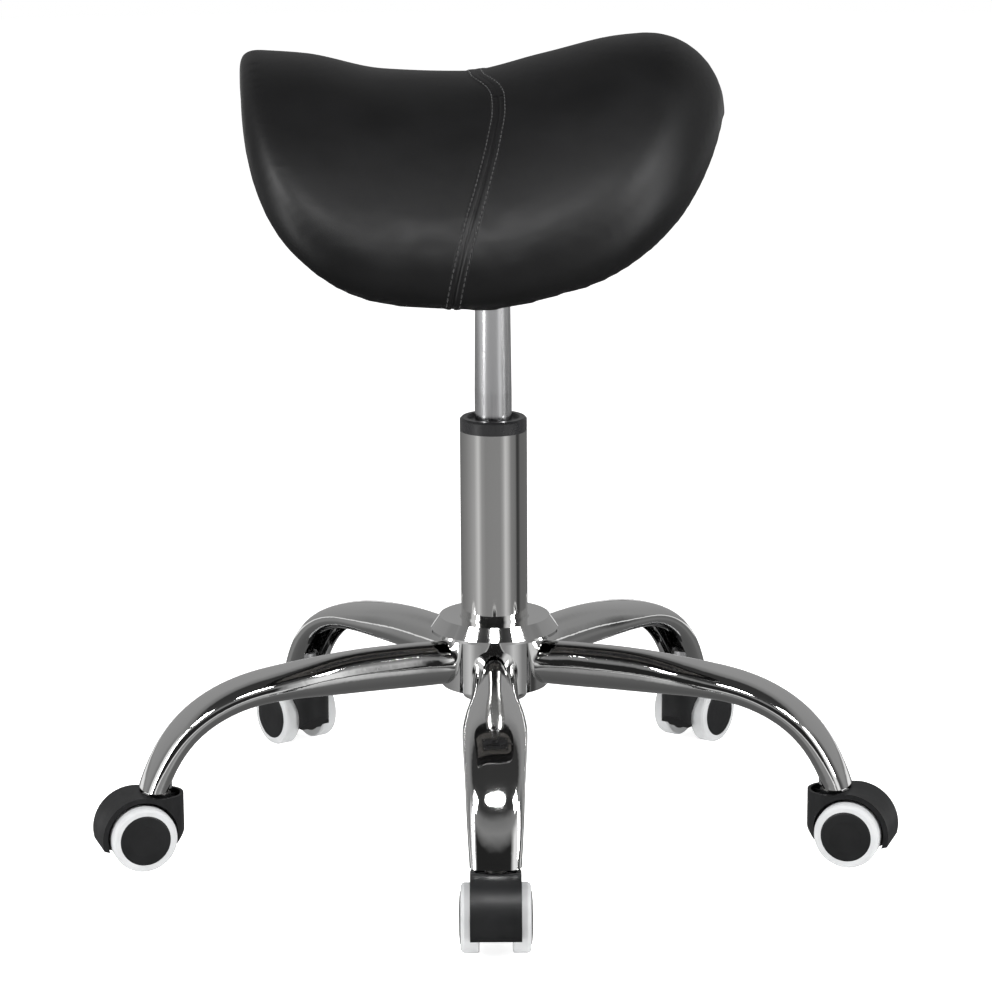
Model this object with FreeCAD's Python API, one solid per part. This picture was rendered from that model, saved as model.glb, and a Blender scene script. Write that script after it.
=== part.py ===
"""Rolling stylist stool: a gas-lift saddle seat on a five-leg chrome base with twin-wheel casters.

Millimetres, +Z up. The origin is on the lift column's axis, on the floor. The saddle's front (its
raised pommel) points along +X, and the star base stands turned under it, with its front leg
4 degrees off -Y.
"""
import FreeCAD, Part
import math
import os

from FreeCAD import Vector

# ---- base -------------------------------------------------------------------------------------
LEG_COUNT = 5
FRONT_LEG_DEG = -94.0
STEM_CIRCLE_R = 267.5
LEG_WALL = 2.0
LEG_END_Z = 58.5
HUB_R = 41.15
HUB_WALL = 3.0
HUB_BOTTOM_Z = 116.0
HUB_TOP_Z = 157.5
SOCKET_TOP_Z = 168.8
COVER_RIM_R = 49.1
COVER_CREASE_R = 42.35
COVER_RIM_Z = 158.3
COVER_RIM_HEIGHT = 2.2
COVER_TOP_Z = 170.2
COVER_WALL = 1.2

# ---- lift column --------------------------------------------------------------------------------
COLUMN_R = 25.65
COLUMN_WALL = 2.0
COLUMN_BOTTOM_Z = 106.0
COLUMN_TOP_Z = 316.0
COLUMN_TAPER_R = 24.4
TAPER_START_Z = 156.0
BASE_PLATE = 3.0
BUSH_TOP_Z = 326.3
BUSH_BOTTOM_Z = 236.0
CYLINDER_R = 14.15
CYLINDER_BOTTOM_Z = 256.0
CYLINDER_TAPER_Z = 346.0
CYLINDER_TOP_Z = 492.0
CYLINDER_TOP_R = 12.65
CYLINDER_BORE_R = 11.5
CYLINDER_BORE_TOP_Z = 412.0
STROKE = 120.0
ROD_R = 5.0
ROD_BOTTOM_Z = 99.0
PISTON_LENGTH = 12.0
RELEASE_PIN_R = 4.0
RELEASE_PIN_RISE = 7.0

# ---- seat mechanism -----------------------------------------------------------------------------
PAD_Z = 514.0
PLATE_LENGTH = 150.0
PLATE_WIDTH = 104.0
PLATE_THICKNESS = 3.0
CHANNEL_HALF = 24.0
CHANNEL_LENGTH = 92.0
CHANNEL_WALL = 2.5
CHANNEL_BOTTOM_Z = 477.0
PIVOT_X = 22.0
PIVOT_Z = 503.5
PIVOT_R = 3.0
LEVER_END_X = 128.0
LEVER_R = 4.0
LEVER_DROP = 6.0
BOLT_X = 62.0
BOLT_Y = 40.0
BOLT_R = 3.0

# ---- saddle -------------------------------------------------------------------------------------
DROOP_HALF = 195.0
PAN_TOP_Z = 545.7
PAN_DROOP = 145.0
PAN_WALL = 8.0
PAN_GAP = 1.2
EDGE_ROUND = 30.0
EDGE_THICK = 44.0
EDGE_TUCK = 30.0
# x, height of the ridge, half width, droop of the top over DROOP_HALF, inset of the whole section
SADDLE_STATIONS = [
    (-188.5, 608.0, 112.0, 120.0, 9.0),
    (-184.5, 608.0, 124.0, 120.5, 2.0),
    (-170.0, 607.0, 156.0, 122.0, 0.0),
    (-145.0, 605.5, 181.0, 125.0, 0.0),
    (-100.0, 597.5, 193.5, 131.0, 0.0),
    (-47.0, 590.5, 195.0, 132.5, 0.0),
    (18.0, 598.5, 193.5, 136.0, 0.0),
    (69.0, 610.0, 186.0, 146.0, 0.0),
    (114.0, 617.0, 166.0, 157.0, 0.0),
    (140.0, 613.0, 143.0, 168.0, 0.0),
    (156.0, 602.0, 117.0, 174.0, 3.0),
    (166.0, 590.0, 92.0, 177.0, 10.0),
]
SADDLE_SECTIONS = 15
SADDLE_END_DEG = 76.0
PAN_STATIONS = (-142.0, -95.0, -30.0, 40.0, 90.0, 122.0)
PAN_INSET = 92.0

# ---- casters ------------------------------------------------------------------------------------
TRAIL = 17.5
WHEEL_R = 25.0
WHEEL_BORE_R = 4.05
AXLE_R = 4.0
AXLE_HALF = 21.0
TREAD_IN = 11.75
TREAD_OUT = 25.0
CAP_R = 19.3
CAP_OUT = 26.2
CORE_IN = 9.9
HOOD_R = 31.2
HOOD_INNER_R = 27.4
HOOD_HALF = 18.3
WEB_HALF = 9.3
CUP_R = 17.8
CUP_TOP_Z = 54.0
CUP_INNER_R = 15.4
CUP_FLOOR_Z = 41.0
BOSS_R = 8.2
HOUSING_BOTTOM_Z = 14.5
RIB_COUNT = 8
STEM_R = 5.0
STEM_TOP_Z = 74.5
STEM_BOTTOM_Z = 30.0
COLLAR_R = 6.6
SLEEVE_R = 9.4
SLEEVE_TOP_Z = 80.0

# ---- fits ---------------------------------------------------------------------------------------
RUNNING = 0.05

AXIS_Z = Vector(0, 0, 1)
ORIGIN = Vector(0, 0, 0)


def revolved(outline):
    """Solid of a closed (radius, height) outline turned about the vertical axis."""
    points = [Vector(r, 0, z) for r, z in outline]
    face = Part.Face(Part.makePolygon(points + points[:1]))
    return face.revolve(ORIGIN, AXIS_Z, 360)


def cylinder(radius, z_low, z_high, x=0.0, y=0.0):
    return Part.makeCylinder(radius, z_high - z_low, Vector(x, y, z_low))


def ring(outer, inner, z_low, z_high):
    return cylinder(outer, z_low, z_high).cut(cylinder(inner, z_low - 1, z_high + 1))


def box(x_low, x_high, y_low, y_high, z_low, z_high):
    return Part.makeBox(x_high - x_low, y_high - y_low, z_high - z_low, Vector(x_low, y_low, z_low))


def turned(shape, degrees):
    """Copy of a shape turned about the column's axis."""
    copy = shape.copy()
    copy.rotate(ORIGIN, AXIS_Z, degrees)
    return copy


def leg_angles():
    return [FRONT_LEG_DEG + 360.0 / LEG_COUNT * k for k in range(LEG_COUNT)]


def eased_rows(table, places):
    """Function that gives the table's row at any place, eased by a monotone cubic per column."""
    spans = [b - a for a, b in zip(places, places[1:])]

    def slopes(values):
        rates = [(b - a) / span for a, b, span in zip(values, values[1:], spans)]
        inner = []
        for before, after in zip(rates, rates[1:]):
            inner.append(0.0 if before * after <= 0 else 2 * before * after / (before + after))
        return [rates[0]] + inner + [rates[-1]]

    columns = list(zip(*table))
    column_slopes = [slopes(values) for values in columns]

    def row(place):
        k = max(i for i in range(len(spans)) if places[i] <= place + 1e-9)
        span = spans[k]
        t = (place - places[k]) / span
        cells = []
        for values, rates in zip(columns, column_slopes):
            cells.append(
                (1 + 2 * t) * (1 - t) ** 2 * values[k]
                + t * (1 - t) ** 2 * span * rates[k]
                + t * t * (3 - 2 * t) * values[k + 1]
                + t * t * (t - 1) * span * rates[k + 1]
            )
        return cells

    return row


def spline_edge(points):
    """Edge through the points, with the same parameters on every section of a loft."""
    curve = Part.BSplineCurve()
    last = len(points) - 1
    curve.interpolate(Points=points, Parameters=[i / last for i in range(last + 1)])
    return curve.toShape()


# ---- legs ---------------------------------------------------------------------------------------
# Spine radius and height, then the section's width, depth, squareness and half gap below.
LEG_STATIONS = [
    (36.0, 135.5, 34.0, 34.0, 2.0, 0.8),
    (90.0, 135.3, 34.3, 33.8, 2.0, 0.8),
    (130.0, 134.0, 38.0, 31.0, 2.1, 2.5),
    (160.0, 132.2, 45.0, 25.5, 2.3, 9.0),
    (186.0, 129.6, 47.0, 21.5, 2.5, 14.0),
    (213.0, 122.3, 45.5, 19.8, 2.5, 14.0),
    (239.0, 107.8, 43.0, 18.8, 2.5, 13.5),
    (259.0, 86.0, 40.5, 18.4, 2.5, 12.5),
    (270.5, 63.5, 38.0, 18.4, 2.5, 12.0),
    (276.0, 48.0, 37.0, 18.4, 2.5, 12.0),
]
LEG_SECTIONS = 13
SECTION_STEPS = 160
SECTION_KNOTS = 14


def leg_rows():
    """Section rows at even steps along the leg's spine."""
    places = [0.0]
    for low, high in zip(LEG_STATIONS, LEG_STATIONS[1:]):
        places.append(places[-1] + math.hypot(high[0] - low[0], high[1] - low[1]))
    row = eased_rows(LEG_STATIONS, places)
    return [row(places[-1] * k / (LEG_SECTIONS - 1)) for k in range(LEG_SECTIONS)]


def leg_outline(width, depth, squareness, half_gap):
    """Points (across, up) of a superellipse, open at its bottom by the gap, and their normals."""
    power = 2.0 / squareness
    end = math.pi - math.asin((2 * half_gap / width) ** (squareness / 2))
    fine = []
    for i in range(SECTION_STEPS + 1):
        angle = end * (2 * i / SECTION_STEPS - 1)
        side, rise = math.sin(angle), math.cos(angle)
        fine.append((
            math.copysign(abs(side) ** power, side) * width / 2,
            math.copysign(abs(rise) ** power, rise) * depth / 2,
        ))
    lengths = [0.0]
    for (a0, b0), (a1, b1) in zip(fine, fine[1:]):
        lengths.append(lengths[-1] + math.hypot(a1 - a0, b1 - b0))
    spaced = []
    for k in range(SECTION_KNOTS + 1):
        target = lengths[-1] * k / SECTION_KNOTS
        i = min(max(j for j, s in enumerate(lengths) if s <= target + 1e-9), SECTION_STEPS - 1)
        (a0, b0), (a1, b1) = fine[i], fine[i + 1]
        part = (target - lengths[i]) / (lengths[i + 1] - lengths[i])
        low, high = fine[max(i - 2, 0)], fine[min(i + 3, SECTION_STEPS)]
        run = math.hypot(high[0] - low[0], high[1] - low[1])
        normal = ((high[1] - low[1]) / run, -(high[0] - low[0]) / run)
        spaced.append(((a0 + (a1 - a0) * part, b0 + (b1 - b0) * part), normal))
    return spaced


def leg_wire(rows, index):
    """Closed C-shaped section of the pressed leg, square to its spine at one row."""
    radius, height, width, depth, squareness, half_gap = rows[index]
    before = rows[max(index - 1, 0)]
    after = rows[min(index + 1, len(rows) - 1)]
    slope = math.atan2(after[1] - before[1], after[0] - before[0])
    up = Vector(-math.sin(slope), 0, math.cos(slope))
    across = Vector(0, 1, 0)
    center = Vector(radius, 0, height)
    outer, inner = [], []
    for (a, b), (na, nb) in leg_outline(width, depth, squareness, half_gap):
        outer.append(center + across * a + up * b)
        inner.append(center + across * (a + na * LEG_WALL) + up * (b + nb * LEG_WALL))
    inner.reverse()
    return Part.Wire([
        spline_edge(outer),
        Part.makeLine(outer[-1], inner[0]),
        spline_edge(inner),
        Part.makeLine(inner[-1], outer[0]),
    ])


def make_leg():
    """Leg along +X: a rolled tube at the hub that opens below into a channel at the caster."""
    rows = leg_rows()
    shell = Part.makeLoft([leg_wire(rows, i) for i in range(len(rows))], True, False)
    shell = shell.cut(cylinder(HUB_R + RUNNING, 100, 180))
    return shell.cut(box(200, 320, -60, 60, 0, LEG_END_Z))


def make_stem_sleeve(leg):
    """Socket welded in the leg's end, which grips the caster's stem."""
    sleeve = cylinder(SLEEVE_R, LEG_END_Z, SLEEVE_TOP_Z, x=STEM_CIRCLE_R)
    sleeve = sleeve.cut(cylinder(STEM_R + 0.02, 0, 200, x=STEM_CIRCLE_R))
    pieces = sleeve.cut(leg).Solids
    return max(pieces, key=lambda piece: piece.Volume)


def make_base():
    column_r = COLUMN_R + RUNNING
    socket_wall = 3.5
    socket_low = HUB_BOTTOM_Z - 6
    taper = (COLUMN_R - COLUMN_TAPER_R) / (TAPER_START_Z - COLUMN_BOTTOM_Z)
    taper_r = column_r - taper * (TAPER_START_Z - socket_low)
    inside = HUB_R - HUB_WALL
    hub = revolved([
        (taper_r, socket_low),
        (taper_r + socket_wall, socket_low),
        (taper_r + socket_wall, HUB_BOTTOM_Z),
        (HUB_R, HUB_BOTTOM_Z),
        (HUB_R, HUB_TOP_Z),
        (column_r + socket_wall, HUB_TOP_Z),
        (column_r + socket_wall, SOCKET_TOP_Z),
        (column_r, SOCKET_TOP_Z),
        (column_r, TAPER_START_Z),
    ])
    hollow = revolved([
        (column_r + socket_wall, HUB_BOTTOM_Z + HUB_WALL),
        (inside, HUB_BOTTOM_Z + HUB_WALL),
        (inside, HUB_TOP_Z - HUB_WALL),
        (column_r + socket_wall, HUB_TOP_Z - HUB_WALL),
    ])
    leg = make_leg()
    sleeve = make_stem_sleeve(leg)
    nodes = {"base_hub": hub.cut(hollow)}
    for number, angle in enumerate(leg_angles(), start=1):
        nodes[f"leg_{number}"] = turned(leg, angle)
    nodes["stem_sockets"] = Part.makeCompound([turned(sleeve, angle) for angle in leg_angles()])
    rim_top = COVER_RIM_Z + COVER_RIM_HEIGHT
    nodes["hub_cover"] = revolved([
        (COVER_RIM_R, COVER_RIM_Z),
        (COVER_RIM_R, rim_top),
        (COVER_CREASE_R, COVER_TOP_Z),
        (column_r + 1.2, COVER_TOP_Z),
        (column_r + 1.2, COVER_TOP_Z + 1.2),
        (column_r, COVER_TOP_Z + 1.2),
        (column_r, COVER_TOP_Z - COVER_WALL),
        (COVER_CREASE_R - 0.6, COVER_TOP_Z - COVER_WALL),
        (COVER_RIM_R - COVER_WALL, rim_top - 0.7),
        (COVER_RIM_R - COVER_WALL, COVER_RIM_Z),
    ])
    return nodes


def make_column():
    """Outer tube of the lift, with its guide bush and the parts that turn on its floor."""
    inner = COLUMN_R - COLUMN_WALL
    taper_inner = COLUMN_TAPER_R - COLUMN_WALL
    floor_z = COLUMN_BOTTOM_Z + BASE_PLATE
    tube = revolved([
        (ROD_R + 0.1, COLUMN_BOTTOM_Z),
        (COLUMN_TAPER_R, COLUMN_BOTTOM_Z),
        (COLUMN_R, TAPER_START_Z),
        (COLUMN_R, COLUMN_TOP_Z),
        (inner, COLUMN_TOP_Z),
        (inner, TAPER_START_Z),
        (taper_inner, floor_z),
        (ROD_R + 0.1, floor_z),
    ])
    bush_bore = CYLINDER_R + RUNNING
    lip_r = bush_bore + 3.0
    bush = revolved([
        (bush_bore, BUSH_BOTTOM_Z),
        (inner - 0.02, BUSH_BOTTOM_Z),
        (inner - 0.02, COLUMN_TOP_Z),
        (COLUMN_R, COLUMN_TOP_Z),
        (COLUMN_R, BUSH_TOP_Z - 1.5),
        (COLUMN_R - 1.5, BUSH_TOP_Z),
        (lip_r + 3.0, BUSH_TOP_Z),
        (lip_r + 1.5, BUSH_TOP_Z - 2.5),
        (bush_bore, BUSH_TOP_Z - 2.5),
    ])
    washer_r = 13.0
    washer = 1.5
    ball_r = 2.0
    race_z = floor_z + washer + ball_r
    race_top = race_z + ball_r
    pieces = [ring(washer_r, ROD_R + 0.1, floor_z, floor_z + washer)]
    for k in range(10):
        angle = math.radians(36 * k)
        center = Vector(9.3 * math.cos(angle), 9.3 * math.sin(angle), race_z)
        pieces.append(Part.makeSphere(ball_r, center))
    thrust_washer = ring(washer_r, ROD_R, race_top, race_top + washer)
    stop_z = race_top + washer
    groove_z = COLUMN_BOTTOM_Z - 2.5
    rod = cylinder(ROD_R, ROD_BOTTOM_Z, CYLINDER_BOTTOM_Z + 10 + PISTON_LENGTH)
    rod = rod.cut(ring(ROD_R + 2, ROD_R - 1, groove_z - 1.2, groove_z))
    piston_low = CYLINDER_BOTTOM_Z + 10.5
    piston = ring(CYLINDER_BORE_R - RUNNING, ROD_R, piston_low, piston_low + PISTON_LENGTH - 0.5)
    clip = ring(ROD_R + 5, ROD_R - 1, groove_z - 1.2, groove_z).cut(
        box(0, 20, -3, 3, groove_z - 5, groove_z + 5)
    )
    return {
        "column_tube": tube,
        "guide_bush": bush,
        "thrust_bearing": Part.makeCompound(pieces),
        "thrust_washer": thrust_washer,
        "bump_stop": ring(11.0, ROD_R, stop_z, CYLINDER_BOTTOM_Z - STROKE - 1.0),
        "piston_rod": rod,
        "rod_piston": piston,
        "retaining_clip": clip,
    }


def make_gas_cylinder():
    cap = 10.0
    outer = revolved([
        (ROD_R + RUNNING, CYLINDER_BOTTOM_Z),
        (CYLINDER_R - 1.5, CYLINDER_BOTTOM_Z),
        (CYLINDER_R, CYLINDER_BOTTOM_Z + 2),
        (CYLINDER_R, CYLINDER_TAPER_Z),
        (CYLINDER_TOP_R, CYLINDER_TOP_Z),
        (RELEASE_PIN_R + RUNNING, CYLINDER_TOP_Z),
        (RELEASE_PIN_R + RUNNING, CYLINDER_BORE_TOP_Z + 20),
        (0, CYLINDER_BORE_TOP_Z + 20),
        (0, CYLINDER_BORE_TOP_Z),
        (CYLINDER_BORE_R, CYLINDER_BORE_TOP_Z),
        (CYLINDER_BORE_R, CYLINDER_BOTTOM_Z + cap),
        (ROD_R + RUNNING, CYLINDER_BOTTOM_Z + cap),
    ])
    pin_low = CYLINDER_BORE_TOP_Z + 24
    pin = cylinder(RELEASE_PIN_R, pin_low, CYLINDER_TOP_Z + RELEASE_PIN_RISE)
    return {"gas_cylinder": outer, "release_pin": pin}


# ---- seat ---------------------------------------------------------------------------------------
def pan_height(y):
    """Height of the cushion's underside, which the pan follows."""
    return PAN_TOP_Z - PAN_DROOP * (y / DROOP_HALF) ** 2


def saddle_loop(row):
    """Points round a section across the saddle: a drooping arch with rolled edges, open below."""
    x, ridge, half, droop, inset = row
    half -= inset
    ridge -= inset

    def skin(y, depth):
        slope = math.atan(2 * droop * y / DROOP_HALF**2)
        height = ridge - droop * (y / DROOP_HALF) ** 2
        return Vector(x, y - depth * math.sin(slope), height - depth * math.cos(slope))

    flat = half - EDGE_ROUND
    top_steps = 8
    top = [skin(flat * (2 * i / top_steps - 1), 0) for i in range(top_steps + 1)]
    right = []
    for degrees in (30, 60, 90):
        angle = math.radians(degrees)
        right.append(skin(flat + EDGE_ROUND * math.sin(angle), EDGE_ROUND * (1 - math.cos(angle))))
    for part in (0.5, 1.0):
        depth = EDGE_ROUND + (EDGE_THICK - EDGE_ROUND) * part
        right.append(skin(half - EDGE_TUCK * part**2, depth))
    inner_half = right[-1].y - 14
    bottom_steps = 8
    bottom = []
    for i in range(bottom_steps + 1):
        y = inner_half * (1 - 2 * i / bottom_steps)
        bottom.append(Vector(x, y, pan_height(y)))
    left = [Vector(p.x, -p.y, p.z) for p in reversed(right)]
    return list(reversed(top + right + bottom + left))


def saddle_wires():
    """Closed sections along the saddle, whose curves share one spacing of their points."""
    loops = [saddle_loop(row) for row in saddle_rows()]
    count = len(loops[0])
    shares = [0.0] * count
    for loop in loops:
        steps = [loop[i].distanceToPoint(loop[(i + 1) % count]) for i in range(count)]
        shares = [share + step / sum(steps) / len(loops) for share, step in zip(shares, steps)]
    parameters = [sum(shares[:i]) for i in range(count + 1)]
    wires = []
    for loop in loops:
        curve = Part.BSplineCurve()
        curve.interpolate(Points=loop, PeriodicFlag=True, Parameters=parameters)
        wires.append(Part.Wire([curve.toShape()]))
    return wires


def saddle_row():
    return eased_rows(SADDLE_STATIONS, [station[0] for station in SADDLE_STATIONS])


def saddle_rows():
    """Section rows along the saddle, closer together towards its ends."""
    row = saddle_row()
    low, high = SADDLE_STATIONS[0][0], SADDLE_STATIONS[-1][0]
    reach = math.sin(math.radians(SADDLE_END_DEG))
    rows = []
    for k in range(SADDLE_SECTIONS):
        angle = math.radians(SADDLE_END_DEG * (2 * k / (SADDLE_SECTIONS - 1) - 1))
        part = (math.sin(angle) / reach + 1) / 2
        rows.append(row(low + (high - low) * part))
    return rows


def pan_wire(x):
    """Section of the moulded pan, a shell of even depth under the cushion."""
    half = saddle_row()(x)[2] - PAN_INSET
    steps = 8
    ys = [half * (2 * i / steps - 1) for i in range(steps + 1)]
    top = [Vector(x, y, pan_height(y) - PAN_GAP) for y in ys]
    under = [Vector(x, y, pan_height(y) - PAN_GAP - PAN_WALL) for y in reversed(ys)]
    return Part.Wire([
        spline_edge(top),
        Part.makeLine(top[-1], under[0]),
        spline_edge(under),
        Part.makeLine(under[-1], top[0]),
    ])


def bolt_places():
    return [(sx * BOLT_X, sy * BOLT_Y) for sx in (-1, 1) for sy in (-1, 1)]


def make_seat():
    cushion = Part.makeLoft(saddle_wires(), True, False)
    pan = Part.makeLoft([pan_wire(x) for x in PAN_STATIONS], True, False)
    pad_half = PLATE_WIDTH / 2 + 4
    pad_length = PLATE_LENGTH / 2 + 5
    pad_top = pan_height(pad_half) - PAN_GAP - 1
    pan = pan.fuse(box(-pad_length, pad_length, -pad_half, pad_half, PAD_Z, pad_top)).removeSplitter()

    bolts, nuts = [], []
    plate_low = PAD_Z - PLATE_THICKNESS
    nut_top = PAD_Z + 14
    for x, y in bolt_places():
        pan = pan.cut(cylinder(BOLT_R + 1.5, PAD_Z - 1, nut_top, x, y))
        head = cylinder(5.5, plate_low - 4, plate_low, x, y)
        bolts.append(head.fuse(cylinder(BOLT_R, plate_low, PAD_Z + 12, x, y)).removeSplitter())
        nut = cylinder(BOLT_R + 1.45, PAD_Z + 1, nut_top - 0.5, x, y)
        nuts.append(nut.cut(cylinder(BOLT_R + 0.02, PAD_Z, nut_top, x, y)))
    return {
        "seat_cushion": cushion,
        "seat_pan": pan,
        "seat_bolts": Part.makeCompound(bolts),
        "tee_nuts": Part.makeCompound(nuts),
    }


def make_mechanism():
    """Steel plate under the pan, with the taper socket, the lever and its pivot pin."""
    low = PAD_Z - PLATE_THICKNESS
    half_x, half_y = PLATE_LENGTH / 2, PLATE_WIDTH / 2
    plate = box(-half_x, half_x, -half_y, half_y, low, PAD_Z)
    for x, y in bolt_places():
        plate = plate.cut(cylinder(BOLT_R + 0.3, low - 1, PAD_Z + 1, x, y))
    side = CHANNEL_LENGTH / 2
    outer = box(-side, side, -CHANNEL_HALF, CHANNEL_HALF, CHANNEL_BOTTOM_Z, low)
    inside = CHANNEL_HALF - CHANNEL_WALL
    outer = outer.cut(box(-side - 1, side + 1, -inside, inside, CHANNEL_BOTTOM_Z + CHANNEL_WALL, low))
    # The cylinder's top stands in a tapered tube that is welded through the channel's floor.
    taper = (CYLINDER_R - CYLINDER_TOP_R) / (CYLINDER_TOP_Z - CYLINDER_TAPER_Z)
    socket_low = CHANNEL_BOTTOM_Z - 27
    socket_high = CYLINDER_TOP_Z - 2
    low_r = CYLINDER_TOP_R + (CYLINDER_TOP_Z - socket_low) * taper + 0.03
    high_r = CYLINDER_TOP_R + (CYLINDER_TOP_Z - socket_high) * taper + 0.03
    wall = 3.0
    tube = revolved([
        (low_r, socket_low),
        (low_r + wall, socket_low),
        (low_r + wall, socket_high),
        (high_r, socket_high),
    ])
    plate = plate.fuse(outer.cut(cylinder(low_r + 1, 400, socket_high))).fuse(tube).removeSplitter()
    pin_hole = Part.makeCylinder(
        PIVOT_R + RUNNING, 80, Vector(PIVOT_X, -40, PIVOT_Z), Vector(0, 1, 0)
    )
    plate = plate.cut(pin_hole)
    pivot = Part.makeCylinder(
        PIVOT_R, 2 * CHANNEL_HALF + 4, Vector(PIVOT_X, -CHANNEL_HALF - 2, PIVOT_Z), Vector(0, 1, 0)
    )

    arm_low = CYLINDER_TOP_Z + RELEASE_PIN_RISE + 1.0
    arm = box(-7, PIVOT_X + 9, -9, 9, arm_low, arm_low + 6.0)
    arm = arm.fuse(Part.makeCylinder(6.0, 18, Vector(PIVOT_X, -9, PIVOT_Z), Vector(0, 1, 0)))
    rod_start = PIVOT_X + 4
    rod_z = PIVOT_Z - LEVER_DROP
    stem = Part.makeCylinder(
        LEVER_R, LEVER_END_X - rod_start, Vector(rod_start, 0, rod_z), Vector(1, 0, 0)
    )
    lever = arm.fuse(stem).cut(pin_hole).removeSplitter()
    grip_start = LEVER_END_X - 40
    grip = Part.makeCylinder(8.0, 46, Vector(grip_start, 0, rod_z), Vector(1, 0, 0))
    grip = grip.makeFillet(2.5, grip.Edges)
    grip = grip.cut(stem)
    return {"seat_plate": plate, "lever": lever, "lever_grip": grip, "lever_pivot": pivot}


# ---- casters ------------------------------------------------------------------------------------
def side_solid(edges, half_width):
    """Solid of a side outline (along the trail, up), as wide as twice the half width."""
    face = Part.Face(Part.Wire(edges))
    face.translate(Vector(0, -half_width, 0))
    return face.extrude(Vector(0, 2 * half_width, 0))


def across(radius, start, end):
    """Cylinder along the wheels' axle line, between two distances from the caster's middle."""
    return Part.makeCylinder(radius, end - start, Vector(TRAIL, start, WHEEL_R), Vector(0, 1, 0))


def make_housing():
    """Hood, cup and web of one caster, whose stem stands at the origin and trail runs along +X."""
    rise = CUP_TOP_Z - WHEEL_R
    start = Vector(TRAIL - math.sqrt(HOOD_R**2 - rise**2), 0, CUP_TOP_Z)
    crest = Vector(TRAIL + HOOD_R * math.sin(math.radians(40)), 0,
                   WHEEL_R + HOOD_R * math.cos(math.radians(40)))
    low_angle = math.radians(-14)
    nose = Vector(TRAIL + HOOD_R * math.cos(low_angle), 0, WHEEL_R + HOOD_R * math.sin(low_angle))
    tip = Vector(TRAIL + 21, 0, HOUSING_BOTTOM_Z)
    heel = Vector(-6, 0, HOUSING_BOTTOM_Z)
    back = Vector(-CUP_R, 0, WHEEL_R + 1)
    top_back = Vector(-CUP_R, 0, CUP_TOP_Z)
    body = side_solid([
        Part.Arc(start, crest, nose).toShape(),
        Part.makeLine(nose, tip),
        Part.makeLine(tip, heel),
        Part.makeLine(heel, back),
        Part.makeLine(back, top_back),
        Part.makeLine(top_back, start),
    ], HOOD_HALF)
    plan = cylinder(CUP_R, 0, 70).fuse(box(0, 60, -HOOD_HALF, HOOD_HALF, 0, 70))
    body = body.common(plan)
    for side in (-1, 1):
        low, high = sorted((side * WEB_HALF, side * (HOOD_HALF + 1)))
        body = body.cut(across(HOOD_INNER_R, low, high))
    recess = ring(CUP_INNER_R, BOSS_R, CUP_FLOOR_Z, 70)
    for k in range(RIB_COUNT):
        rib = box(BOSS_R - 1, CUP_INNER_R + 1, -0.7, 0.7, CUP_FLOOR_Z - 1, CUP_TOP_Z - 3)
        recess = recess.cut(turned(rib, 360.0 / RIB_COUNT * (k + 0.5)))
    body = body.cut(recess)
    body = body.cut(ring(CUP_INNER_R, 0.1, CUP_TOP_Z, 70)).cut(cylinder(1, CUP_TOP_Z, 70))
    body = body.cut(cylinder(STEM_R + RUNNING, STEM_BOTTOM_Z - 0.5, 70))
    return body.cut(across(AXLE_R, -WEB_HALF - 1, WEB_HALF + 1)).removeSplitter()


def make_stem():
    outline = [
        (0, STEM_BOTTOM_Z),
        (STEM_R, STEM_BOTTOM_Z),
        (STEM_R, CUP_TOP_Z + 0.1),
        (COLLAR_R, CUP_TOP_Z + 0.1),
        (COLLAR_R, LEG_END_Z - 0.05),
        (STEM_R, LEG_END_Z - 0.05),
        (STEM_R, STEM_TOP_Z - 2),
        (STEM_R - 2, STEM_TOP_Z),
        (0, STEM_TOP_Z),
    ]
    return revolved(outline)


def wheel_solid(outline, side):
    """Solid of a (radius, distance from the middle) outline turned about the axle line."""
    center = Vector(TRAIL, 0, WHEEL_R)
    points = [Vector(TRAIL + radius, side * reach, WHEEL_R) for radius, reach in outline]
    face = Part.Face(Part.makePolygon(points + points[:1]))
    return face.revolve(center, Vector(0, 1, 0), 360)


def make_wheel(side):
    rim_inner = CAP_R - 2.6
    web_in = TREAD_OUT - 3.0
    hub_r = 8.0
    core = wheel_solid([
        (WHEEL_BORE_R, CORE_IN),
        (hub_r, CORE_IN),
        (hub_r, web_in),
        (rim_inner, web_in),
        (rim_inner, TREAD_IN),
        (CAP_R, TREAD_IN),
        (CAP_R, TREAD_OUT),
        (CAP_R - 1.2, TREAD_OUT + 0.6),
        (CAP_R * 0.62, CAP_OUT - 0.1),
        (CAP_R * 0.3, CAP_OUT),
        (0, CAP_OUT),
        (0, web_in),
        (WHEEL_BORE_R, web_in),
    ], side)
    tyre = wheel_solid([
        (CAP_R, TREAD_IN),
        (WHEEL_R - 1.0, TREAD_IN),
        (WHEEL_R, TREAD_IN + 1.0),
        (WHEEL_R, TREAD_OUT - 2.6),
        (WHEEL_R - 0.8, TREAD_OUT - 0.8),
        (WHEEL_R - 2.6, TREAD_OUT),
        (CAP_R, TREAD_OUT),
    ], side)
    return core, tyre


def make_casters():
    housing = make_housing()
    axle = across(AXLE_R, -AXLE_HALF, AXLE_HALF)
    stem = make_stem()
    pieces = {"housing": housing, "axle": axle}
    for side, letter in ((-1, "a"), (1, "b")):
        pieces[f"wheel_{letter}"], pieces[f"tyre_{letter}"] = make_wheel(side)

    def placed(shape, angle):
        copy = shape.copy()
        copy.translate(Vector(STEM_CIRCLE_R, 0, 0))
        return turned(copy, angle)

    nodes = {"caster_stems": Part.makeCompound([placed(stem, angle) for angle in leg_angles()])}
    for number, angle in enumerate(leg_angles(), start=1):
        for name, shape in pieces.items():
            nodes[f"caster_{number}_{name}"] = placed(shape, angle)
    return nodes


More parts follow.
